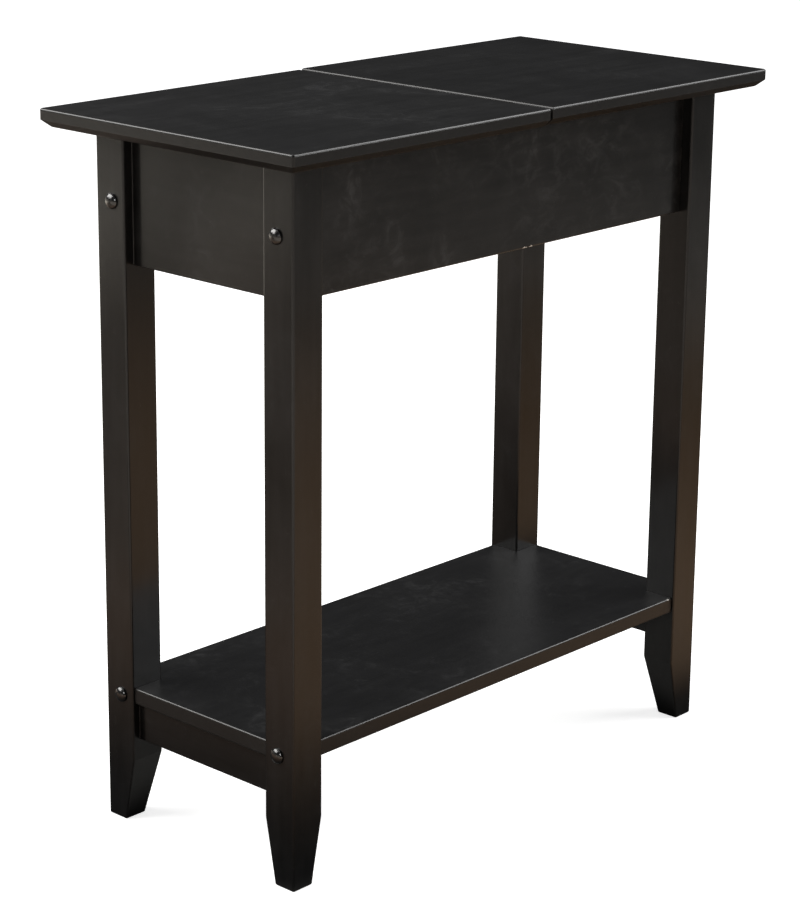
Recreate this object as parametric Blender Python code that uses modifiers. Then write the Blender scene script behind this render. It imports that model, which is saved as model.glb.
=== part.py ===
"""Narrow flip-top nightstand: four tapered legs, a recessed apron box with a
storage well, a notched lower shelf and a top split across the middle, whose
left half is a lid that hinges up at the seam.

Frame: metres, +Z up, origin at the bottom centre. X runs along the length
(-X is the left end, under the lid), -Y is the front long side.
"""
import math

import bmesh
import bpy
from mathutils import Matrix, Vector

MM = 0.001

# ---------------------------------------------------------------- dimensions
LENGTH = 590.55 * MM          # 23.25 in over the top
WIDTH = 285.75 * MM           # 11.25 in over the top
HEIGHT = 609.60 * MM          # 24 in to the fixed half of the top
SHELF_UNDER = 107.95 * MM     # 4.25 in, floor to the shelf's underside
BAY = 361.95 * MM             # 14.25 in, shelf to the aprons' lower edge

GAP = 0.3 * MM                # working gap between pieces that touch

SLAB = 15.875 * MM            # top thickness, 5/8 in
BAND = 9.5 * MM               # upright edge of the top
CHAMFER = 6.8 * MM            # how far the under-chamfer runs in
LID_STEP = 0.8 * MM           # the lid lies this much below the fixed half
SEAM_X = -1.0 * MM            # middle of the seam
SEAM = 3.0 * MM               # seam width

OVERHANG = 31.4 * MM          # top edge to the legs' outer faces
LEG = 32.6 * MM               # leg, square
FOOT = 21.6 * MM              # leg at the floor, square
TAPER_Z = 57.0 * MM           # inner faces taper below this

SHELF_T = 14.0 * MM
SHELF_SET = 2.4 * MM          # shelf edge inside the legs' outer faces

SIDE_SET = 10.4 * MM          # long aprons inside the legs' outer faces
SIDE_T = 15.0 * MM
END_SET = 9.5 * MM            # end aprons inside the legs' outer faces
END_T = 12.0 * MM
RAIL_SET = 7.2 * MM           # shelf rails inside the legs' outer faces
RAIL_T = 12.5 * MM
RAIL_Z = 74.6 * MM            # lower edge of the shelf rails
TENON = 10.0 * MM             # tenon length into the legs

FLOOR_T = 5.0 * MM
FLOOR_Z = 491.9 * MM
GROOVE = 5.0 * MM

BOLT_IN = 18.2 * MM           # bolt axis from the legs' long outer faces
BOLT_UP_Z = 536.0 * MM
BOLT_LOW_Z = 113.5 * MM
BOLT_R = 3.0 * MM
BOLT_LEN = 55.0 * MM
HEAD_R = 6.6 * MM
HEAD_H = 3.6 * MM
HOLE_R = 3.35 * MM
NUT_R = 5.0 * MM
NUT_HOLE_R = 5.3 * MM
NUT_REACH = 13.0 * MM         # nut axis from the piece's end

PIVOT_DOWN = 1.6 * MM         # hinge axis below the lid's face
HINGE_Y = 75.0 * MM
HINGE_LEN = 50.0 * MM
LEAF_T = 0.9 * MM
KNUCKLE_R = 1.2 * MM
PIN_R = 0.60 * MM
PIN_HOLE_R = 0.69 * MM
MIDDLE_KNUCKLE = 18.0 * MM

# ------------------------------------------------------------- derived levels
HX, HY = LENGTH / 2, WIDTH / 2
LEG_X0, LEG_X1 = -HX + OVERHANG, -HX + OVERHANG + LEG
LEG_Y0, LEG_Y1 = -HY + OVERHANG, -HY + OVERHANG + LEG
SHELF_TOP = SHELF_UNDER + SHELF_T
APRON_Z = SHELF_TOP + BAY
LID_TOP = HEIGHT - LID_STEP
LID_UNDER = LID_TOP - SLAB
FIXED_UNDER = HEIGHT - SLAB
FRAME_TOP = LID_UNDER - GAP
LID_FACE = SEAM_X - SEAM / 2
FIXED_FACE = SEAM_X + SEAM / 2
PIVOT_Z = LID_TOP - PIVOT_DOWN
SIDE_IN = LEG_Y0 + SIDE_SET + SIDE_T      # inner face of the front apron
END_IN = LEG_X0 + END_SET + END_T         # inner face of the left apron

PAINT = ((0.019, 0.0185, 0.0190), 0.38, 0.0)
INSIDE = ((0.022, 0.021, 0.021), 0.55, 0.0)
DARK_METAL = ((0.045, 0.044, 0.043), 0.35, 1.0)
ZINC = ((0.42, 0.42, 0.40), 0.38, 1.0)
HINGE_METAL = ((0.10, 0.09, 0.075), 0.40, 1.0)

# ----------------------------------------------------------------- the scene
for ob in list(bpy.data.objects):
    bpy.data.objects.remove(ob, do_unlink=True)

PARTS = bpy.data.collections.new("flip_top_nightstand")
CUTTERS = bpy.data.collections.new("cutters")
bpy.context.scene.collection.children.link(PARTS)
bpy.context.scene.collection.children.link(CUTTERS)


def material(name, look):
    colour, rough, metal = look
    m = bpy.data.materials.new(name)
    m.use_nodes = True
    b = m.node_tree.nodes["Principled BSDF"]
    b.inputs["Base Color"].default_value = (*colour, 1.0)
    b.inputs["Roughness"].default_value = rough
    b.inputs["Metallic"].default_value = metal
    return m


def add(name, bm, look, origin=(0.0, 0.0, 0.0)):
    """Link a bmesh as a part, its origin at the given point."""
    bmesh.ops.recalc_face_normals(bm, faces=bm.faces[:])
    bmesh.ops.translate(bm, verts=bm.verts[:], vec=-Vector(origin))
    me = bpy.data.meshes.new(name)
    bm.to_mesh(me)
    bm.free()
    ob = bpy.data.objects.new(name, me)
    ob.location = origin
    PARTS.objects.link(ob)
    me.materials.append(material(name, look))
    return ob


def round_edges(ob, width, segments=3, angle=30.0, method="ANGLE"):
    b = ob.modifiers.new("round", "BEVEL")
    b.width = width
    b.segments = segments
    b.limit_method = method
    b.angle_limit = math.radians(angle)
    b.use_clamp_overlap = True
    return ob


def box_into(bm, x0, x1, y0, y1, z0, z1):
    lo = [min(x0, x1), min(y0, y1), min(z0, z1)]
    hi = [max(x0, x1), max(y0, y1), max(z0, z1)]
    mid = Vector([(a + b) / 2 for a, b in zip(lo, hi)])
    size = [b - a for a, b in zip(lo, hi)]
    m = Matrix.Translation(mid) @ Matrix.Diagonal((*size, 1.0))
    bmesh.ops.create_cube(bm, size=1.0, matrix=m)


def loop_cut(bm, z):
    """Add a level edge loop at height z."""
    bmesh.ops.bisect_plane(bm, geom=bm.verts[:] + bm.edges[:] + bm.faces[:],
                           plane_co=(0.0, 0.0, z), plane_no=(0.0, 0.0, 1.0))


def cyl_into(bm, p0, p1, r0, r1=None, segments=16):
    p0, p1 = Vector(p0), Vector(p1)
    d = p1 - p0
    turn = d.to_track_quat("Z", "Y").to_matrix().to_4x4()
    m = Matrix.Translation((p0 + p1) / 2) @ turn
    bmesh.ops.create_cone(bm, cap_ends=True, cap_tris=False, segments=segments,
                          radius1=r0, radius2=r0 if r1 is None else r1,
                          depth=d.length, matrix=m)


def cutter(name, bm):
    bmesh.ops.recalc_face_normals(bm, faces=bm.faces[:])
    me = bpy.data.meshes.new(name)
    bm.to_mesh(me)
    bm.free()
    ob = bpy.data.objects.new(name, me)
    ob.hide_render = True
    ob.display_type = "WIRE"
    CUTTERS.objects.link(ob)
    return ob


def boolean(ob, tool, operation="DIFFERENCE"):
    b = ob.modifiers.new(operation.lower() + "_" + tool.name[:30], "BOOLEAN")
    b.operation = operation
    b.solver = "EXACT"
    b.object = tool
    return ob


def cut(ob, fill):
    """Cut with the bodies that fill(bm) makes, given in scene metres."""
    bm = bmesh.new()
    fill(bm)
    return boolean(ob, cutter("cut_%s_%d" % (ob.name, len(ob.modifiers)), bm))


def join(ob, fill):
    bm = bmesh.new()
    fill(bm)
    return boolean(ob, cutter("add_%s_%d" % (ob.name, len(ob.modifiers)), bm), "UNION")


def block(name, x0, x1, y0, y1, z0, z1, look, rounding, along, segments=2):
    """A board that runs along an axis: its long edges are eased, its ends are square."""
    bm = bmesh.new()
    box_into(bm, x0, x1, y0, y1, z0, z1)
    weight = bm.edges.layers.float.new("bevel_weight_edge")
    for e in bm.edges:
        d = e.verts[1].co - e.verts[0].co
        e[weight] = 1.0 if abs(d["XYZ".index(along)]) > d.length / 2 else 0.0
    ob = add(name, bm, look, ((x0 + x1) / 2, (y0 + y1) / 2, (z0 + z1) / 2))
    return round_edges(ob, rounding, segments, method="WEIGHT")


def notched_board(name, x_out, y_out, x_in, y_in, z0, z1, look, rounding, segments=3):
    """A board with eased edges and its four corners cut out, square, to pass the legs."""
    bm = bmesh.new()
    box_into(bm, -x_out, x_out, -y_out, y_out, z0, z1)
    ob = add(name, bm, look, (0.0, 0.0, (z0 + z1) / 2))
    if rounding:
        round_edges(ob, rounding, segments)

    def corners(b):
        for sx in (-1, 1):
            for sy in (-1, 1):
                box_into(b, sx * x_in, sx * (x_out + 10 * MM), sy * y_in, sy * (y_out + 10 * MM),
                         z0 - 10 * MM, z1 + 10 * MM)

    return cut(ob, corners)


def turned(name, profile, at, direction, look, steps=20):
    """A turned piece: profile (r, z) from the top down, its +Z along direction."""
    bm = bmesh.new()
    vs = [bm.verts.new((r, 0.0, z)) for r, z in profile]
    for a, b in zip(vs, vs[1:]):
        bm.edges.new((a, b))
    me = bpy.data.meshes.new(name)
    bm.to_mesh(me)
    bm.free()
    ob = bpy.data.objects.new(name, me)
    ob.location = at
    ob.rotation_mode = "QUATERNION"
    ob.rotation_quaternion = Vector(direction).to_track_quat("Z", "Y")
    PARTS.objects.link(ob)
    s = ob.modifiers.new("turn", "SCREW")
    s.axis = "Z"
    s.angle = 2 * math.pi
    s.steps = steps
    s.render_steps = steps
    s.use_merge_vertices = True
    s.merge_threshold = 0.00001
    me.materials.append(material(name, look))
    return ob


# ---------------------------------------------------------------------- legs
ENDS = (("left", -1), ("right", 1))
SIDES = (("front", -1), ("back", 1))


def leg(name, sx, sy):
    """Square leg; only its two inner faces taper, so its outer corner is plumb."""
    bm = bmesh.new()
    ox, oy = sx * (HX - OVERHANG), sy * (HY - OVERHANG)
    box_into(bm, ox, ox - sx * LEG, oy, oy - sy * LEG, 0.0, FRAME_TOP)
    loop_cut(bm, TAPER_Z)
    for v in bm.verts:
        if v.co.z < TAPER_Z / 2:
            if abs(v.co.x - ox) > LEG / 2:
                v.co.x = ox - sx * FOOT
            if abs(v.co.y - oy) > LEG / 2:
                v.co.y = oy - sy * FOOT
    ob = add(name, bm, PAINT, (ox - sx * LEG / 2, oy - sy * LEG / 2, 0.0))
    round_edges(ob, 1.7 * MM, 3)

    def holes(b):
        y = oy - sy * BOLT_IN
        for z in (BOLT_UP_Z, BOLT_LOW_Z):
            cyl_into(b, (ox + sx * 5 * MM, y, z), (ox - sx * (LEG + 5 * MM), y, z), HOLE_R)
        # mortises for the end apron and the shelf rail
        y_in = oy - sy * LEG
        xa = ox - sx * (END_SET + END_T / 2)
        box_into(b, xa - 3.3 * MM, xa + 3.3 * MM, y_in - sy * 2 * MM, y_in + sy * (TENON + GAP),
                 APRON_Z + 21.7 * MM, FRAME_TOP - 11.7 * MM)
        xr = ox - sx * (RAIL_SET + RAIL_T / 2)
        box_into(b, xr - 3.3 * MM, xr + 3.3 * MM, y_in - sy * 2 * MM, y_in + sy * (TENON + GAP),
                 RAIL_Z + 6.7 * MM, SHELF_UNDER - GAP - 6.7 * MM)

    cut(ob, holes)
    return ob


for end, sx in ENDS:
    for side, sy in SIDES:
        leg("leg_%s_%s" % (side, end), sx, sy)

# --------------------------------------------------------------------- aprons
for side, sy in SIDES:
    ya = sy * (HY - OVERHANG - SIDE_SET)
    yb = ya - sy * SIDE_T
    ob = block("apron_%s" % side, LEG_X1 + GAP, -LEG_X1 - GAP, ya, yb, APRON_Z, FRAME_TOP, PAINT, 1.1 * MM, "X")
    y_bolt = sy * (HY - OVERHANG - BOLT_IN)

    def holes(b, yb=yb, sy=sy, y_bolt=y_bolt):
        for ex in (-1, 1):
            x_end = ex * (-LEG_X1 - GAP)
            cyl_into(b, (x_end + ex * 5 * MM, y_bolt, BOLT_UP_Z),
                     (x_end - ex * 24 * MM, y_bolt, BOLT_UP_Z), HOLE_R)
        box_into(b, LEG_X1 - 5 * MM, -LEG_X1 + 5 * MM, yb - sy * 3 * MM, yb + sy * GROOVE,
                 FLOOR_Z - GAP, FLOOR_Z + FLOOR_T + GAP)

    def nut_holes(b, yb=yb, sy=sy):
        for ex in (-1, 1):
            x = ex * (-LEG_X1 - GAP - NUT_REACH)
            cyl_into(b, (x, yb - sy * 3 * MM, BOLT_UP_Z), (x, yb + sy * 11.4 * MM, BOLT_UP_Z), NUT_HOLE_R)

    cut(ob, holes)
    cut(ob, nut_holes)

for end, sx in ENDS:
    xa = sx * (HX - OVERHANG - END_SET)
    xb = xa - sx * END_T
    ob = block("apron_%s" % end, xa, xb, LEG_Y1 + GAP, -LEG_Y1 - GAP, APRON_Z, FRAME_TOP, PAINT, 1.1 * MM, "Y")
    xm = (xa + xb) / 2

    def tenons(b, xm=xm):
        box_into(b, xm - 3 * MM, xm + 3 * MM, LEG_Y1 - TENON, -LEG_Y1 + TENON,
                 APRON_Z + 22 * MM, FRAME_TOP - 12 * MM)

    def groove(b, xb=xb, sx=sx):
        box_into(b, xb - sx * 3 * MM, xb + sx * GROOVE, LEG_Y1 - 5 * MM, -LEG_Y1 + 5 * MM,
                 FLOOR_Z - GAP, FLOOR_Z + FLOOR_T + GAP)

    join(ob, tenons)
    cut(ob, groove)

# ------------------------------------------------------- floor of the well
notched_board("compartment_floor", -END_IN + GROOVE - GAP, -SIDE_IN + GROOVE - GAP, -LEG_X1 - GAP, -LEG_Y1 - GAP,
              FLOOR_Z, FLOOR_Z + FLOOR_T, INSIDE, 0.0)

# cross rail under the seam, and the cleats that carry the fixed half
block("seam_rail", SEAM_X - 6 * MM, SEAM_X + 6 * MM, SIDE_IN + GAP, -SIDE_IN - GAP,
      FRAME_TOP - 30 * MM, FRAME_TOP, INSIDE, 0.8 * MM, "Y")
CLEAT_TOP = FIXED_UNDER - GAP
CLEAT_X0, CLEAT_X1 = 22 * MM, 214 * MM
SCREW_X = (52 * MM, 184 * MM)
for side, sy in SIDES:
    y0 = -sy * (SIDE_IN + GAP)
    y1 = y0 - sy * 14 * MM
    ym = (y0 + y1) / 2
    ob = block("cleat_%s" % side, CLEAT_X0, CLEAT_X1, y0, y1, CLEAT_TOP - 14 * MM, CLEAT_TOP, INSIDE, 0.8 * MM, "X")

    def holes(b, ym=ym):
        for x in SCREW_X:
            cyl_into(b, (x, ym, CLEAT_TOP - 20 * MM), (x, ym, CLEAT_TOP + 6 * MM), 2.1 * MM, segments=16)

    cut(ob, holes)
    for n, x in enumerate(SCREW_X, 1):
        under = CLEAT_TOP - 14 * MM - GAP
        turned("top_screw_%s_%d" % (side, n),
               [(0.0, 0.0), (0.9 * MM, 0.0 - 1.2 * MM), (1.75 * MM, -3.2 * MM), (1.75 * MM, -26.0 * MM),
                (3.4 * MM, -26.0 * MM), (3.4 * MM, -27.2 * MM), (2.4 * MM, -28.2 * MM), (0.0, -28.4 * MM)],
               (x, ym, under + 26 * MM), (0, 0, 1), ZINC, 16)

# ---------------------------------------------------------------------- shelf
shelf = notched_board("shelf", HX - OVERHANG - SHELF_SET, HY - OVERHANG - SHELF_SET, -LEG_X1 - GAP, -LEG_Y1 - GAP,
                      SHELF_UNDER, SHELF_TOP, PAINT, 1.4 * MM)


def shelf_bolt_holes(b):
    for ex in (-1, 1):
        for sy in (-1, 1):
            x_end = ex * (-LEG_X1 - GAP)
            y = sy * (HY - OVERHANG - BOLT_IN)
            cyl_into(b, (x_end + ex * 5 * MM, y, BOLT_LOW_Z), (x_end - ex * 24 * MM, y, BOLT_LOW_Z), HOLE_R)


def shelf_nut_holes(b):
    for ex in (-1, 1):
        for sy in (-1, 1):
            x = ex * (-LEG_X1 - GAP - NUT_REACH)
            y = sy * (HY - OVERHANG - BOLT_IN)
            cyl_into(b, (x, y, SHELF_UNDER - 4 * MM), (x, y, SHELF_UNDER + 11.6 * MM), NUT_HOLE_R)


cut(shelf, shelf_bolt_holes)
cut(shelf, shelf_nut_holes)

for end, sx in ENDS:
    xa = sx * (HX - OVERHANG - RAIL_SET)
    xb = xa - sx * RAIL_T
    xm = (xa + xb) / 2
    ob = block("shelf_rail_%s" % end, xa, xb, LEG_Y1 + GAP, -LEG_Y1 - GAP, RAIL_Z, SHELF_UNDER - GAP, PAINT,
               1.1 * MM, "Y")

    def tenons(b, xm=xm):
        box_into(b, xm - 3 * MM, xm + 3 * MM, LEG_Y1 - TENON, -LEG_Y1 + TENON,
                 RAIL_Z + 7 * MM, SHELF_UNDER - GAP - 7 * MM)

    join(ob, tenons)

# ----------------------------------------------------------- bolts and nuts
BOLT_PROFILE = [(0.0, HEAD_H)]
for i in range(1, 10):
    a = math.radians(90 - i * 8.0)
    BOLT_PROFILE.append((HEAD_R * math.cos(a) / math.cos(math.radians(18)),
                         0.7 * MM + (HEAD_H - 0.7 * MM) * (math.sin(a) - math.sin(math.radians(18)))
                         / (1 - math.sin(math.radians(18)))))
BOLT_PROFILE += [(HEAD_R, 0.0), (BOLT_R, 0.0), (BOLT_R, -BOLT_LEN + 0.8 * MM),
                 (BOLT_R - 0.8 * MM, -BOLT_LEN), (0.0, -BOLT_LEN)]

for end, sx in ENDS:
    for side, sy in SIDES:
        y = sy * (HY - OVERHANG - BOLT_IN)
        for level, z in (("upper", BOLT_UP_Z), ("lower", BOLT_LOW_Z)):
            at = (sx * (HX - OVERHANG + GAP), y, z)
            turned("bolt_%s_%s_%s" % (level, side, end), BOLT_PROFILE, at, (sx, 0, 0), DARK_METAL, 28)
            x = sx * (-LEG_X1 - GAP - NUT_REACH)
            bm = bmesh.new()
            if level == "upper":
                yb = -sy * SIDE_IN
                p0, p1 = (x, yb + sy * 0.4 * MM, z), (x, yb + sy * 11.1 * MM, z)
            else:
                p0, p1 = (x, y, SHELF_UNDER + 0.4 * MM), (x, y, SHELF_UNDER + 11.2 * MM)
            cyl_into(bm, p0, p1, NUT_R)
            nut = add("barrel_nut_%s_%s_%s" % (level, side, end), bm, ZINC, (x, y, z))
            cut(nut, lambda b, x=x, y=y, z=z: cyl_into(
                b, (x - 9 * MM, y, z), (x + 9 * MM, y, z), HOLE_R))

# ------------------------------------------------------------------------ top
HINGES = (("front", -HINGE_Y), ("back", HINGE_Y))
SCREW_DY = 15.0 * MM
SCREW_Z = PIVOT_Z - 7.6 * MM


def slab(sx, face_x, z_top):
    """One half of the top: under-chamfer on its three outer edges only."""
    bm = bmesh.new()
    box_into(bm, face_x, sx * HX, -HY, HY, z_top - SLAB, z_top)
    loop_cut(bm, z_top - BAND)
    for v in bm.verts:
        if v.co.z < z_top - SLAB + 1 * MM:
            if abs(v.co.x) > HX / 2:
                v.co.x -= sx * CHAMFER
            v.co.y -= math.copysign(CHAMFER, v.co.y)
    # rounding of each edge; the upright corners at the seam are left crisp
    weight = bm.edges.layers.float.new("bevel_weight_edge")
    for e in bm.edges:
        if len(e.link_faces) == 2 and e.calc_face_angle() > math.radians(20):
            a, b = e.verts
            at_seam = max(abs(a.co.x - face_x), abs(b.co.x - face_x)) < 0.1 * MM
            e[weight] = 0.22 if at_seam and abs(a.co.z - b.co.z) > 1 * MM else 1.0
    return bm


lid = add("top_lid", slab(-1, LID_FACE, LID_TOP), PAINT, (SEAM_X, 0.0, PIVOT_Z))
round_edges(lid, 2.0 * MM, 4, method="WEIGHT")
fixed = add("top_fixed", slab(1, FIXED_FACE, HEIGHT), PAINT, (HX / 2, 0.0, FIXED_UNDER))
round_edges(fixed, 2.0 * MM, 4, method="WEIGHT")


def screw_holes(face_x, way):
    def fill(b):
        for _, hy in HINGES:
            for dy in (-SCREW_DY, SCREW_DY):
                cyl_into(b, (face_x - way * 3 * MM, hy + dy, SCREW_Z),
                         (face_x + way * 13 * MM, hy + dy, SCREW_Z), 1.5 * MM, segments=16)
    return fill


cut(lid, screw_holes(LID_FACE, -1))
cut(fixed, screw_holes(FIXED_FACE, 1))


def top_screw_holes(b):
    for sy in (-1, 1):
        ym = -sy * (SIDE_IN + GAP) - sy * 7 * MM
        for x in SCREW_X:
            cyl_into(b, (x, ym, FIXED_UNDER - 4 * MM), (x, ym, FIXED_UNDER + 12.5 * MM), 2.1 * MM, segments=16)


cut(fixed, top_screw_holes)

# --------------------------------------------------------------------- hinges
PLATE_TOP = PIVOT_Z - KNUCKLE_R - 0.4 * MM
PLATE_LOW = LID_UNDER + 1.5 * MM


def leaf(name, hy, x_wood, way, spans):
    """A hinge leaf lying on a seam face; way points from the leaf into the wood."""
    xa = x_wood - way * GAP
    xb = xa - way * LEAF_T
    bm = bmesh.new()
    box_into(bm, xa, xb, hy - HINGE_LEN / 2, hy + HINGE_LEN / 2, PLATE_LOW, PLATE_TOP)
    ob = add(name, bm, HINGE_METAL, (SEAM_X, hy, PIVOT_Z))
    for y0, y1 in spans:
        join(ob, lambda b, y0=y0, y1=y1: box_into(
            b, xa, xb, hy + y0, hy + y1, PLATE_TOP - 0.5 * MM, PIVOT_Z))
    for y0, y1 in spans:
        join(ob, lambda b, y0=y0, y1=y1: cyl_into(
            b, (SEAM_X, hy + y0, PIVOT_Z), (SEAM_X, hy + y1, PIVOT_Z), KNUCKLE_R, segments=20))

    def bores(b):
        cyl_into(b, (SEAM_X, hy - HINGE_LEN, PIVOT_Z), (SEAM_X, hy + HINGE_LEN, PIVOT_Z), PIN_HOLE_R, segments=20)

    def countersinks(b):
        for dy in (-SCREW_DY, SCREW_DY):
            cyl_into(b, (xb - way * 0.5 * MM, hy + dy, SCREW_Z), (xa + way * 0.5 * MM, hy + dy, SCREW_Z),
                     2.85 * MM, 0.95 * MM, segments=16)

    cut(ob, bores)
    cut(ob, countersinks)
    for n, dy in enumerate((-SCREW_DY, SCREW_DY), 1):
        turned(name.replace("leaf", "screw") + "_%d" % n,
               [(0.0, 0.0), (1.9 * MM, 0.0), (1.05 * MM, -0.85 * MM), (1.05 * MM, -9.5 * MM),
                (0.4 * MM, -11.0 * MM), (0.0, -11.2 * MM)],
               (xb + way * 0.02 * MM, hy + dy, SCREW_Z), (-way, 0, 0), HINGE_METAL, 16)
    return ob


M, E = MIDDLE_KNUCKLE / 2, HINGE_LEN / 2
for side, hy in HINGES:
    leaf("hinge_leaf_lid_%s" % side, hy, LID_FACE, -1, ((-E, -M - 0.4 * MM), (M + 0.4 * MM, E)))
    leaf("hinge_leaf_fixed_%s" % side, hy, FIXED_FACE, 1, ((-M, M),))
    bm = bmesh.new()
    cyl_into(bm, (SEAM_X, hy - E + 0.3 * MM, PIVOT_Z), (SEAM_X, hy + E - 0.3 * MM, PIVOT_Z), PIN_R, segments=20)
    add("hinge_pin_%s" % side, bm, HINGE_METAL, (SEAM_X, hy, PIVOT_Z))
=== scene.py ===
"""Looks for the flip-top nightstand: satin black paint over wood, dark domed
bolts, plain pale floor and soft studio light."""
import math

import bmesh
import bpy
from mathutils import Matrix, Vector


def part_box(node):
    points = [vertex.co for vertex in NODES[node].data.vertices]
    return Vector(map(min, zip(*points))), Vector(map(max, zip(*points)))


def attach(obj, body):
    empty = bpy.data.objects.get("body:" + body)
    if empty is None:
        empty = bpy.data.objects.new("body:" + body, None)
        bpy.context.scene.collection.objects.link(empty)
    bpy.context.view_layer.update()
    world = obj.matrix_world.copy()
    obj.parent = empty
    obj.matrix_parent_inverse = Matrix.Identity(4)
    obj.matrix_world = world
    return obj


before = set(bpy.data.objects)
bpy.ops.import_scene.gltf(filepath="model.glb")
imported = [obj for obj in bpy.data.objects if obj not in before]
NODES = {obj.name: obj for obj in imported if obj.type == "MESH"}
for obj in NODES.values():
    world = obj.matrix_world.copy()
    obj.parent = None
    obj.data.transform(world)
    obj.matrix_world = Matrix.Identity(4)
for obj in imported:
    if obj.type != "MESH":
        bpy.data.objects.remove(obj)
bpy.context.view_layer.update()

MM = 0.001
SCENE = bpy.context.scene

# tone of the floor as the paint sees it in its reflections, close to the table and further away: painted reflections,
# with a painted shadow and a painted pool of light under the table
FLOOR_LONG = ((0.485, 0.32, 0.20), (0.15, 0.147, 0.14))
FLOOR_END = ((0.36, 0.25, 0.185), (0.22, 0.18, 0.15), (0.76, 0.71, 0.62))
FLOOR_FRONT = (0.62, 0.56, 0.50)
FLOOR_PAINTED_SHADOW = (0.03, 0.03, 0.03)
FLOOR_PAINTED_LIGHT = (0.30, 0.295, 0.28)
FLOOR_RIGHT = (0.58, 0.52, 0.42)
FLOOR_GLOW = 0.42
FLOOR_SEEN = 0.76


# ------------------------------------------------------------------ node help
class Tree:
    """Small helper round a material's or world's node tree."""

    def __init__(self, tree):
        self.t = tree
        self.x = 0

    def add(self, kind, **props):
        n = self.t.nodes.new(kind)
        self.x += 40
        n.location = (self.x, 0)
        for k, v in props.items():
            setattr(n, k, v)
        return n

    def link(self, a, b):
        self.t.links.new(a, b)

    def val(self, node, name, value):
        s = node.inputs[name]
        if hasattr(value, "is_output"):
            self.link(value, s)
        else:
            s.default_value = value

    def math(self, op, a, b=None, c=None, clamp=False):
        n = self.add("ShaderNodeMath", operation=op, use_clamp=clamp)
        for i, v in enumerate((a, b, c)):
            if v is not None:
                self.val(n, i, v)
        return n.outputs[0]

    def ramp(self, fac, lo, hi, out0=0.0, out1=1.0, smooth=True):
        n = self.add("ShaderNodeMapRange", interpolation_type="SMOOTHSTEP" if smooth else "LINEAR")
        self.val(n, "Value", fac)
        self.val(n, "From Min", lo)
        self.val(n, "From Max", hi)
        self.val(n, "To Min", out0)
        self.val(n, "To Max", out1)
        return n.outputs["Result"]

    def mapped(self, vec, offset=(0, 0, 0), scale=(1, 1, 1)):
        n = self.add("ShaderNodeMapping")
        self.link(vec, n.inputs["Vector"])
        n.inputs["Location"].default_value = offset
        n.inputs["Scale"].default_value = scale
        return n.outputs[0]

    def noise(self, vec, scale, detail=3.0, rough=0.55, distortion=0.0):
        n = self.add("ShaderNodeTexNoise")
        self.link(vec, n.inputs["Vector"])
        n.inputs["Scale"].default_value = scale
        n.inputs["Detail"].default_value = detail
        n.inputs["Roughness"].default_value = rough
        n.inputs["Distortion"].default_value = distortion
        return n.outputs["Fac"]

    def mix_colour(self, fac, a, b, blend="MIX"):
        n = self.add("ShaderNodeMix", data_type="RGBA", blend_type=blend)
        self.val(n, "Factor", fac)
        for name, v in (("A", a), ("B", b)):
            s = [i for i in n.inputs if i.name == name and i.type == "RGBA"][0]
            if hasattr(v, "is_output"):
                self.link(v, s)
            else:
                s.default_value = (*v, 1.0)
        return [o for o in n.outputs if o.type == "RGBA"][0]


def new_material(name):
    m = bpy.data.materials.new(name)
    m.use_nodes = True
    t = Tree(m.node_tree)
    return m, t, m.node_tree.nodes["Principled BSDF"]


def grain_scale(axis, along, across):
    return tuple(along if i == "XYZ".index(axis) else across for i in range(3))


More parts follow.
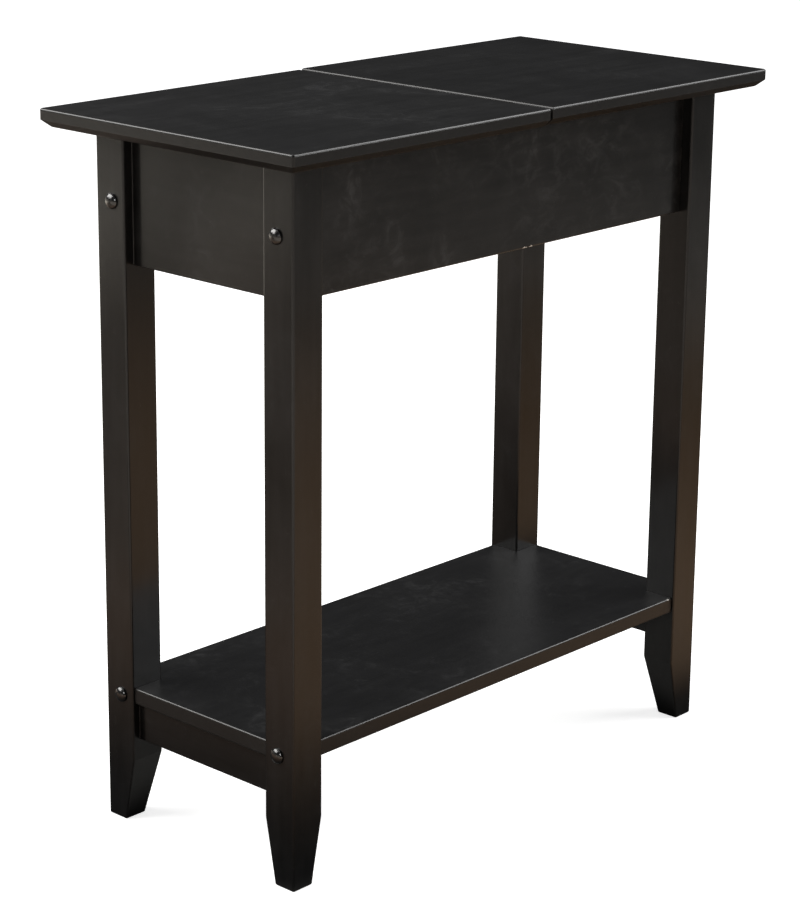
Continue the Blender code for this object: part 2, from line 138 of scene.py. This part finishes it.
# -------------------------------------------------------------- painted wood
def painted_wood(name, grain, seed, base=(0.0040, 0.0038, 0.0037), worn=(0.062, 0.047, 0.036),
                 rough=0.33, gloss=0.13, haze=1.0, film=(0.0170, 0.0170, 0.0174), wear=1.0, coat=0.55,
                 level=0.20, face=None, side=1.0, spread=(0.40, 1.85), mottle=0.0, lines=0.50, marks=()):
    """Black lacquer over close-grained wood: a thin gloss coat on a softer
    body. Roller marks and grain show as faint relief, cloudy rubbing marks lie
    on the gloss, and the paint is rubbed along the rounded edges, through to
    the wood in a few places; the lighter line along the rounded edges is part
    rubbed paint and part a painted highlight. film is the tone of the rubbing
    marks, and marks are chips down to the primer, (x, y, z, radius). face is the
    gloss coat left on a board's broad faces, which are rubbed duller than its
    edges, and side is the part of it that its upright edges keep. Less of it
    reaches the slopes under the edges."""
    m, t, b = new_material(name)
    coords = t.add("ShaderNodeTexCoord")
    co = coords.outputs["Object"]
    off = (seed * 1.37, seed * 2.11, seed * 0.73)
    flat = t.mapped(co, off)
    streak = t.mapped(co, off, grain_scale(grain, 0.10, 1.0))
    pore = t.mapped(co, off, grain_scale(grain, 0.035, 1.0))

    cloud = t.noise(flat, 11.0, 5.0, 0.62, 0.6)
    patch = t.noise(flat, 42.0, 5.0, 0.64, 1.6)
    bands = t.noise(streak, 95.0, 4.0, 0.60, 0.3)
    grains = t.noise(pore, 1150.0, 3.0, 0.55)
    peel = t.noise(flat, 260.0, 2.0, 0.5)
    dust = t.noise(flat, 1700.0, 1.0, 0.5)

    if face is not None:
        split = t.add("ShaderNodeSeparateXYZ")
        t.link(coords.outputs["Normal"], split.inputs[0])
        steep = t.math("ABSOLUTE", split.outputs["Z"])
        rim_of_board = t.ramp(steep, 0.998, 0.985)
    # rubbing marks: cloudy patches, and short fine scratches inside them
    smudge = t.math("MULTIPLY", t.ramp(cloud, 0.44, 0.68), t.ramp(patch, 0.44, 0.70))
    if mottle:
        fine = t.noise(t.mapped(co, off, grain_scale(grain, 0.55, 1.0)), 62.0, 6.0, 0.70, 0.9)
        wide = t.noise(flat, 7.5, 3.0, 0.55)
        smudge = t.math("ADD", smudge, t.math("MULTIPLY", t.ramp(fine, 0.46, 0.74), t.ramp(wide, 0.36, 0.60, 0.15 * mottle, mottle)))
    line = t.noise(t.mapped(co, off, grain_scale(grain, 0.22, 1.0)), 60.0, 3.0, 0.55, 2.2)
    thin = t.ramp(t.math("ABSOLUTE", t.math("SUBTRACT", line, 0.5)), 0.010, 0.0)
    scratch = t.math("MULTIPLY", thin, t.ramp(patch, 0.56, 0.66))
    tone = t.math("ADD", t.math("MULTIPLY", cloud, 0.55), t.math("MULTIPLY", bands, 0.45))
    colour = t.mix_colour(t.ramp(tone, 0.32, 0.68), tuple(c * spread[0] for c in base), tuple(c * spread[1] for c in base))
    # the boards' upright rims get a tone of their own, apart from the faces': painted light and shade by which way the
    # surface faces
    if face is not None:
        colour = t.mix_colour(rim_of_board, colour, (0.0108, 0.0104, 0.0100))
        smudge = t.math("MULTIPLY", smudge, t.math("SUBTRACT", 1.0, t.math("MULTIPLY", rim_of_board, 0.7)))
    colour = t.mix_colour(t.math("MULTIPLY", smudge, 0.55 * haze, clamp=True), colour, film)
    colour = t.mix_colour(t.math("MULTIPLY", scratch, lines * haze, clamp=True), colour, (0.030, 0.0295, 0.029))

    # edges: where the rounded normal turns away from the face's own
    geo = t.add("ShaderNodeNewGeometry")
    bev = t.add("ShaderNodeBevel", samples=6)
    bev.inputs["Radius"].default_value = 1.6 * MM
    dot = t.add("ShaderNodeVectorMath", operation="DOT_PRODUCT")
    t.link(bev.outputs[0], dot.inputs[0])
    t.link(geo.outputs["True Normal"], dot.inputs[1])
    edge = t.ramp(dot.outputs["Value"], 0.995, 0.90)
    chip = t.ramp(t.noise(flat, 150.0, 5.0, 0.65, 0.4), 0.60, 0.68)
    worn_edge = t.math("MULTIPLY", edge, t.math("MULTIPLY", chip, t.ramp(cloud, 0.50, 0.66)), clamp=True)
    # lighter line along every rounded edge: part rubbed paint, part a painted highlight of the edge catching the light
    rub_and_highlight = t.math("MULTIPLY", edge, t.ramp(bands, 0.30, 0.62, 0.35, 1.0))
    colour = t.mix_colour(t.math("MULTIPLY", rub_and_highlight, 0.75 * wear), colour, (0.045, 0.044, 0.043))
    colour = t.mix_colour(t.math("MULTIPLY", worn_edge, 0.85 * wear), colour, worn)
    for x, y, z, size in marks:
        spot = t.add("ShaderNodeVectorMath", operation="DISTANCE")
        t.link(co, spot.inputs[0])
        spot.inputs[1].default_value = (x, y, z)
        ragged = t.math("SUBTRACT", t.noise(flat, 620.0, 3.0, 0.6), 0.5)
        rim = t.math("ADD", spot.outputs["Value"], t.math("MULTIPLY", ragged, size * 1.6))
        flake = t.ramp(rim, size * 1.05, size * 0.85)
        colour = t.mix_colour(flake, colour, (0.56, 0.54, 0.50))
        worn_edge = t.math("MAXIMUM", worn_edge, flake)
    t.link(colour, b.inputs["Base Color"])

    r = t.math("ADD", rough, t.math("MULTIPLY", t.math("SUBTRACT", cloud, 0.5), 0.18))
    r = t.math("ADD", r, t.math("MULTIPLY", t.math("SUBTRACT", bands, 0.5), 0.12))
    r = t.math("ADD", r, t.math("MULTIPLY", smudge, 0.10 * haze))
    r = t.math("SUBTRACT", r, t.math("MULTIPLY", edge, 0.14))
    r = t.math("ADD", r, t.math("MULTIPLY", worn_edge, 0.25), clamp=True)
    t.link(r, b.inputs["Roughness"])
    b.inputs["IOR"].default_value = 1.5
    b.inputs["Specular IOR Level"].default_value = level
    b.inputs["Coat Weight"].default_value = coat
    if face is not None:
        edge_coat = t.ramp(steep, 0.40, 0.12, coat, coat * side)
        edge_coat = t.math("MULTIPLY", edge_coat, t.ramp(split.outputs["Z"], -0.15, -0.40, 1.0, 0.45))
        t.link(t.math("ADD", face, t.math("MULTIPLY", rim_of_board, t.math("SUBTRACT", edge_coat, face))), b.inputs["Coat Weight"])
    b.inputs["Coat Roughness"].default_value = gloss
    b.inputs["Coat IOR"].default_value = 1.5

    h = t.math("ADD", t.math("MULTIPLY", grains, 0.35), t.math("MULTIPLY", peel, 0.70))
    h = t.math("ADD", h, t.math("MULTIPLY", bands, 1.0))
    h = t.math("ADD", h, t.math("MULTIPLY", t.ramp(dust, 0.74, 0.80), 0.22))
    h = t.math("SUBTRACT", h, t.math("MULTIPLY", worn_edge, 0.8))
    bump = t.add("ShaderNodeBump")
    bump.inputs["Strength"].default_value = 0.55
    bump.inputs["Distance"].default_value = 0.00006
    t.link(h, bump.inputs["Height"])
    t.link(bump.outputs[0], b.inputs["Normal"])
    t.link(bump.outputs[0], b.inputs["Coat Normal"])
    return m


def dark_steel(name, seed):
    m, t, b = new_material(name)
    co = t.add("ShaderNodeTexCoord").outputs["Object"]
    flat = t.mapped(co, (seed * 0.9, seed * 1.7, seed * 0.3))
    n1 = t.noise(flat, 420.0, 4.0, 0.6)
    n2 = t.noise(flat, 2600.0, 2.0, 0.5)
    colour = t.mix_colour(t.ramp(n1, 0.35, 0.70), (0.030, 0.0295, 0.029), (0.055, 0.0545, 0.0535))
    t.link(colour, b.inputs["Base Color"])
    b.inputs["Metallic"].default_value = 1.0
    t.link(t.math("ADD", 0.17, t.math("MULTIPLY", n1, 0.14)), b.inputs["Roughness"])
    b.inputs["Coat Weight"].default_value = 1.0
    b.inputs["Coat Roughness"].default_value = 0.08
    b.inputs["Coat IOR"].default_value = 1.5
    bump = t.add("ShaderNodeBump")
    bump.inputs["Strength"].default_value = 0.35
    bump.inputs["Distance"].default_value = 0.00003
    t.link(n2, bump.inputs["Height"])
    t.link(bump.outputs[0], b.inputs["Normal"])
    return m


def plated(name, seed, lo, hi, rough):
    m, t, b = new_material(name)
    co = t.add("ShaderNodeTexCoord").outputs["Object"]
    flat = t.mapped(co, (seed * 0.5, seed * 1.1, seed * 0.8))
    brush = t.mapped(co, (seed, 0, 0), (1.0, 0.06, 1.0))
    n1 = t.noise(flat, 180.0, 4.0, 0.6)
    n2 = t.noise(brush, 1900.0, 2.0, 0.5)
    t.link(t.mix_colour(t.ramp(n1, 0.35, 0.70), lo, hi), b.inputs["Base Color"])
    b.inputs["Metallic"].default_value = 1.0
    r = t.math("ADD", rough, t.math("MULTIPLY", t.math("SUBTRACT", n1, 0.5), 0.18))
    t.link(r, b.inputs["Roughness"])
    bump = t.add("ShaderNodeBump")
    bump.inputs["Strength"].default_value = 0.4
    bump.inputs["Distance"].default_value = 0.00002
    t.link(n2, bump.inputs["Height"])
    t.link(bump.outputs[0], b.inputs["Normal"])
    return m


def give(node, material):
    ob = NODES[node]
    ob.data.materials.clear()
    ob.data.materials.append(material)


def smooth(node):
    """Shade a CAD node's rounded edges without touching its vertices."""
    ob = NODES[node]
    me = ob.data
    if me.has_custom_normals:
        with bpy.context.temp_override(object=ob, active_object=ob, selected_objects=[ob]):
            bpy.ops.mesh.customdata_custom_splitnormals_clear()
    me.shade_smooth()
    me.set_sharp_from_angle(angle=math.radians(60))
    w = ob.modifiers.new("weighted", "WEIGHTED_NORMAL")
    w.mode = "FACE_AREA"
    w.weight = 100
    w.keep_sharp = True


GRAIN = {"top_lid": "X", "top_fixed": "X", "shelf": "X", "apron_front": "X", "apron_back": "X",
         "apron_left": "Y", "apron_right": "Y", "shelf_rail_left": "Y", "shelf_rail_right": "Y",
         "leg_front_left": "Z", "leg_back_left": "Z", "leg_front_right": "Z", "leg_back_right": "Z"}
# how strong the rubbing marks are, and their tone
HAZE = {"apron_front": (1.8, 0.025), "apron_back": (1.8, 0.025), "top_lid": (1.5, 0.036),
        "top_fixed": (1.0, 0.027), "shelf": (1.6, 0.026)}
for leg_name in (n for n in GRAIN if n.startswith("leg_")):
    HAZE[leg_name] = (0.7, 0.013)
# a second, finer layer of them
MOTTLE = {"apron_front": 0.62, "apron_back": 0.62, "shelf": 0.25, "top_lid": 0.15, "top_fixed": 0.15}
# the flat boards: painted tone and its spread, body's own shine, gloss on edges and faces. Their faces are painted
# lighter than the legs' paint as painted sheen, and the lid half lighter than the fixed half as painted light
BOARD = {"top_lid": dict(base=(0.0178, 0.0178, 0.0180), spread=(0.78, 1.22), level=0.05, coat=0.80, face=0.06),
         "top_fixed": dict(base=(0.0150, 0.0150, 0.0152), spread=(0.78, 1.22), level=0.05, coat=0.68, face=0.06, side=1.18),
         "shelf": dict(base=(0.0085, 0.0085, 0.0086), spread=(0.70, 1.30), level=0.15, coat=0.70, face=0.33, side=0.54)}
# roughness of the paint body and of its gloss, on the flat boards
SATIN = {"top_lid": (0.42, 0.20), "top_fixed": (0.42, 0.20), "shelf": (0.42, 0.30)}
apron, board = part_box("apron_front"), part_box("shelf")
CHIPS = {"apron_front": tuple((x, apron[0][1], apron[0][2], r * MM) for x, r in
                              ((0.0166, 1.1), (0.0182, 1.6), (0.0202, 1.3), (0.0255, 1.0), (0.0272, 1.5))),
         "shelf": ((0.2260, board[0][1], board[1][2], 1.4 * MM),)}
for i, (node, axis) in enumerate(GRAIN.items()):
    haze, film = HAZE.get(node, (1.0, 0.017))
    rough, gloss = SATIN.get(node, (0.33, 0.13))
    give(node, painted_wood("paint_" + node, axis, 3.1 + i * 1.9, rough=rough, gloss=gloss,
                            haze=haze, film=(film, film, film * 1.02), **BOARD.get(node, {}),
                            mottle=MOTTLE.get(node, 0.0), lines=0.26 if node.startswith("apron") else 0.50,
                            marks=CHIPS.get(node, ())))
    smooth(node)
for i, node in enumerate(("compartment_floor", "seam_rail", "cleat_front", "cleat_back")):
    give(node, painted_wood("inside_" + node, "Y" if node == "seam_rail" else "X", 41.0 + i * 2.3,
                            base=(0.011, 0.0105, 0.0102), rough=0.55, haze=0.6))
    smooth(node)
for i, node in enumerate(n for n in NODES if n.startswith("bolt_")):
    give(node, dark_steel("steel_" + node, 2.0 + i))
    smooth(node)
for i, node in enumerate(n for n in NODES if n.startswith(("barrel_nut", "top_screw"))):
    give(node, plated("zinc_" + node, 1.0 + i, (0.33, 0.33, 0.31), (0.52, 0.52, 0.50), 0.36))
    smooth(node)
for i, node in enumerate(n for n in NODES if n.startswith("hinge_")):
    give(node, plated("bronze_" + node, 1.0 + i, (0.07, 0.062, 0.05), (0.13, 0.115, 0.095), 0.34))
    smooth(node)

# ------------------------------------------------------------- paint fillets
# The end frames are glued and painted as one, so a little paint stands in the
# corners between the legs and the end aprons and rails.
def fillet(name, corner, toward, z0, z1, radius, material):
    (x, y), (dx, dy) = corner, toward
    steps, rings, into = 6, 28, 0.2 * MM
    bm = bmesh.new()
    loops = []
    for i in range(rings + 1):
        z = z0 + (z1 - z0) * i / rings
        r = radius * (1.0 + 0.16 * math.sin(310.0 * z + 40.0 * x) + 0.12 * math.sin(845.0 * z + 60.0 * y))
        ring = [(x + dx * r * (1 - math.sin(a)), y + dy * r * (1 - math.cos(a)))
                for a in (math.radians(90.0) * k / steps for k in range(steps + 1))]
        ring += [(x - dx * into, ring[-1][1]), (x - dx * into, y - dy * into), (ring[0][0], y - dy * into)]
        loops.append([bm.verts.new((px, py, z)) for px, py in ring])
    n = len(loops[0])
    for lower, upper in zip(loops, loops[1:]):
        for k in range(n):
            bm.faces.new((lower[k], lower[(k + 1) % n], upper[(k + 1) % n], upper[k]))
    bm.faces.new(loops[0])
    bm.faces.new(loops[-1])
    bmesh.ops.recalc_face_normals(bm, faces=bm.faces)
    me = bpy.data.meshes.new(name)
    bm.to_mesh(me)
    bm.free()
    me.materials.append(material)
    me.shade_smooth()
    me.set_sharp_from_angle(angle=math.radians(40))
    ob = bpy.data.objects.new(name, me)
    SCENE.collection.objects.link(ob)
    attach(ob, "base")
    return ob


drip = painted_wood("paint_fillet", "Z", 67.0, rough=0.30, gloss=0.12, haze=0.5, coat=0.30)
for end, out in (("left", -1), ("right", 1)):
    for side_name, inward in (("front", 1), ("back", -1)):
        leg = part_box("leg_%s_%s" % (side_name, end))
        face = leg[1][1] if inward > 0 else leg[0][1]
        for kind, node in (("apron", "apron_" + end), ("rail", "shelf_rail_" + end)):
            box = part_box(node)
            fillet("paint_fillet_%s_%s_%s" % (kind, side_name, end), (box[0][0] if out < 0 else box[1][0], face),
                   (out, inward), box[0][2] + 1.3 * MM, box[1][2] - 1.3 * MM, 0.45 * MM, drip)

# --------------------------------------------------------------------- floor
# A pale floor that glows a little, as a light table does, and glows more to the camera further from the table. What the
# paint sees of it in reflections is a painted tone that the camera never sees: painted reflections warmer on the long
# side, painted shadow behind the table and close to the feet, a painted pool of light under it, lighter far back.
bpy.ops.mesh.primitive_grid_add(x_subdivisions=8, y_subdivisions=8, size=60.0, location=(0, 0, -0.2 * MM))
floor = bpy.context.object
floor.name = "studio_floor"
fm, ft, fb = new_material("pale_floor")
fco = ft.add("ShaderNodeTexCoord").outputs["Object"]
fsep = ft.add("ShaderNodeSeparateXYZ")
ft.link(fco, fsep.inputs[0])
fx, fy = fsep.outputs["X"], fsep.outputs["Y"]
dx = ft.math("MAXIMUM", ft.math("SUBTRACT", ft.math("ABSOLUTE", fx), 0.26), 0.0)
dy = ft.math("MAXIMUM", ft.math("SUBTRACT", ft.math("ABSOLUTE", fy), 0.11), 0.0)
away = ft.math("SQRT", ft.math("ADD", ft.math("MULTIPLY", dx, dx), ft.math("MULTIPLY", dy, dy)))
side = ft.ramp(ft.math("SUBTRACT", fy, fx), -0.30, 0.60)
long_far = ft.mix_colour(1.0, FLOOR_LONG[1], ft.ramp(fx, 0.80, 1.60, 0.70, 1.18), "MULTIPLY")
long_tone = ft.mix_colour(ft.ramp(away, 0.50, 1.90), FLOOR_LONG[0], long_far)
end_tone = ft.mix_colour(ft.ramp(away, 0.35, 0.85), *FLOOR_END[:2])
end_tone = ft.mix_colour(ft.ramp(fy, 1.25, 2.15), end_tone, FLOOR_END[2])
across = ft.math("ADD", fy, ft.math("MULTIPLY", fx, 0.911))
fade = ft.math("ADD", ft.ramp(across, -0.40, -0.20, 0.26, 0.48), ft.ramp(across, -0.25, -0.12, 0.0, 0.78))
fade = ft.math("ADD", 1.0, ft.math("MULTIPLY", ft.math("SUBTRACT", fade, 1.0), ft.ramp(fy, 0.10, 1.00)))
band = ft.math("MULTIPLY", ft.ramp(across, 0.00, 0.06), ft.ramp(across, 0.27, 0.18))
fade = ft.math("MULTIPLY", fade, ft.math("SUBTRACT", 1.0, ft.math("MULTIPLY", band, 0.85)))
end_tone = ft.mix_colour(1.0, end_tone, fade, "MULTIPLY")
far_right = ft.math("MULTIPLY", ft.ramp(fx, 0.45, 1.00), ft.ramp(fy, -1.05, -0.80))
long_tone = ft.mix_colour(far_right, long_tone, FLOOR_RIGHT, "MULTIPLY")
tone = ft.mix_colour(side, long_tone, end_tone)
tone = ft.mix_colour(ft.ramp(ft.math("ADD", fx, fy), -0.70, -1.30), tone, FLOOR_FRONT)
# painted shadow in the floor's reflected tone: dark behind the table and round the feet, lifted again in the lit strip
sx = ft.math("MAXIMUM", ft.math("SUBTRACT", ft.math("ABSOLUTE", ft.math("SUBTRACT", fx, 0.495)), 0.755), 0.0)
sy = ft.math("MAXIMUM", ft.math("SUBTRACT", ft.math("ABSOLUTE", ft.math("SUBTRACT", fy, 0.32)), 0.43), 0.0)
shade = ft.math("SQRT", ft.math("ADD", ft.math("MULTIPLY", sx, sx), ft.math("MULTIPLY", sy, sy)))
reach = ft.ramp(fx, -0.20, 0.30, 0.42, 0.10)
lit = ft.math("MULTIPLY", ft.ramp(across, 0.22, 0.32), ft.ramp(fx, 0.10, -0.10, 0.0, 0.35))
tone = ft.mix_colour(ft.math("MAXIMUM", ft.ramp(shade, 0.02, reach), lit), FLOOR_PAINTED_SHADOW, tone)
# painted pool of light under the table, in the floor's reflected tone
ux = ft.math("SUBTRACT", ft.math("ABSOLUTE", ft.math("ADD", fx, 0.02)), 0.22)
uy = ft.math("SUBTRACT", ft.math("ABSOLUTE", ft.math("ADD", fy, 0.02)), 0.07)
tone = ft.mix_colour(ft.ramp(ft.math("MAXIMUM", ux, uy), 0.04, 0.0), tone, FLOOR_PAINTED_LIGHT)
# the camera sees the floor pale; the paint's reflections see the painted tone
seen = ft.add("ShaderNodeLightPath").outputs["Is Camera Ray"]
pale = ft.mix_colour(ft.noise(fco, 1.3, 3.0, 0.5), (0.86, 0.86, 0.855), (0.90, 0.90, 0.895))
ft.link(ft.mix_colour(seen, tone, pale), fb.inputs["Base Color"])
ft.link(ft.mix_colour(seen, tone, (1.0, 1.0, 1.0)), fb.inputs["Emission Color"])
bright = ft.ramp(away, 1.0, 4.0, FLOOR_SEEN - FLOOR_GLOW, 1.05 - FLOOR_GLOW)
ft.link(ft.math("ADD", FLOOR_GLOW, ft.math("MULTIPLY", seen, bright)), fb.inputs["Emission Strength"])
fb.inputs["Roughness"].default_value = 0.85
fb.inputs["Specular IOR Level"].default_value = 0.1
floor.data.materials.append(fm)


# -------------------------------------------------------------------- lights
def softbox(name, at, target, size, power, colour=(1, 1, 1), spread=180.0):
    d = bpy.data.lights.new(name, "AREA")
    d.shape = "RECTANGLE"
    d.size, d.size_y = size
    d.energy = power
    d.color = colour
    d.spread = math.radians(spread)
    o = bpy.data.objects.new(name, d)
    o.location = at
    o.rotation_euler = (Vector(target) - Vector(at)).to_track_quat("-Z", "Y").to_euler()
    o.visible_camera = False
    SCENE.collection.objects.link(o)
    return o


softbox("overhead", (-0.2, 0.1, 3.2), (0.0, 0.0, 0.0), (3.2, 3.2), 24.0)
softbox("strip_left", (-1.78, 1.78, 1.95), (0.0, 0.0, 0.5), (2.6, 1.7), 97.0, (1.0, 0.99, 0.97))
softbox("strip_right", (2.00, -1.56, 1.63), (0.0, 0.0, 0.45), (1.9, 1.6), 59.0)
softbox("front", (-2.75, -1.85, 1.25), (0.0, 0.0, 0.4), (0.5, 0.5), 7.0)

world = bpy.data.worlds.new("studio")
SCENE.world = world
world.use_nodes = True
wt = Tree(world.node_tree)
bg = world.node_tree.nodes["Background"]
wco = wt.add("ShaderNodeTexCoord").outputs["Generated"]
sep = wt.add("ShaderNodeSeparateXYZ")
wt.link(wco, sep.inputs[0])
lift = wt.ramp(sep.outputs["Z"], 0.12, 0.75, smooth=False)
sky = wt.mix_colour(lift, (0.028, 0.028, 0.029), (0.14, 0.14, 0.1445))
# a low glow behind the lid end, as from a pale backdrop
back = wt.math("SUBTRACT", wt.math("MULTIPLY", sep.outputs["Y"], 0.8), wt.math("MULTIPLY", sep.outputs["X"], 0.6))
glow = wt.math("MULTIPLY", wt.ramp(back, 0.05, 0.40), wt.ramp(sep.outputs["Z"], 0.30, 0.18))
sky = wt.mix_colour(wt.math("MULTIPLY", glow, 0.10), sky, (1.0, 1.0, 1.0), "ADD")
path = wt.add("ShaderNodeLightPath").outputs["Is Camera Ray"]
wt.link(wt.mix_colour(path, sky, (1.0, 1.0, 1.0)), bg.inputs["Color"])
bg.inputs["Strength"].default_value = 1.0

# -------------------------------------------------------------------- camera
# Fitted to the table's printed sizes; focal length and principal point are
# in pixels of an 800 x 910 picture.
AZ, EL, ROLL = 42.669, -15.648, 0.588
FOCAL, PX, PY = 2659.2, 400.0, 395.0
EYE = Vector((-1.64110, -1.49154, 0.96201))
a, e, r = (math.radians(v) for v in (AZ, EL, ROLL))
ahead = Vector((math.cos(e) * math.cos(a), math.cos(e) * math.sin(a), math.sin(e)))
right = ahead.cross(Vector((0, 0, 1))).normalized()
up = right.cross(ahead)
right, up = math.cos(r) * right + math.sin(r) * up, -math.sin(r) * right + math.cos(r) * up
cam_data = bpy.data.cameras.new("camera")
cam_data.sensor_width = 36.0
cam_data.lens = FOCAL / 910.0 * 36.0
cam_data.shift_x = (400.0 - PX) / 910.0
cam_data.shift_y = (PY - 455.0) / 910.0
cam_data.clip_start, cam_data.clip_end = 0.05, 200.0
cam = bpy.data.objects.new("camera", cam_data)
cam.matrix_world = Matrix.Translation(EYE) @ Matrix((right, up, -ahead)).transposed().to_4x4()
SCENE.collection.objects.link(cam)
SCENE.camera = cam
SCENE.view_settings.view_transform = "Standard"
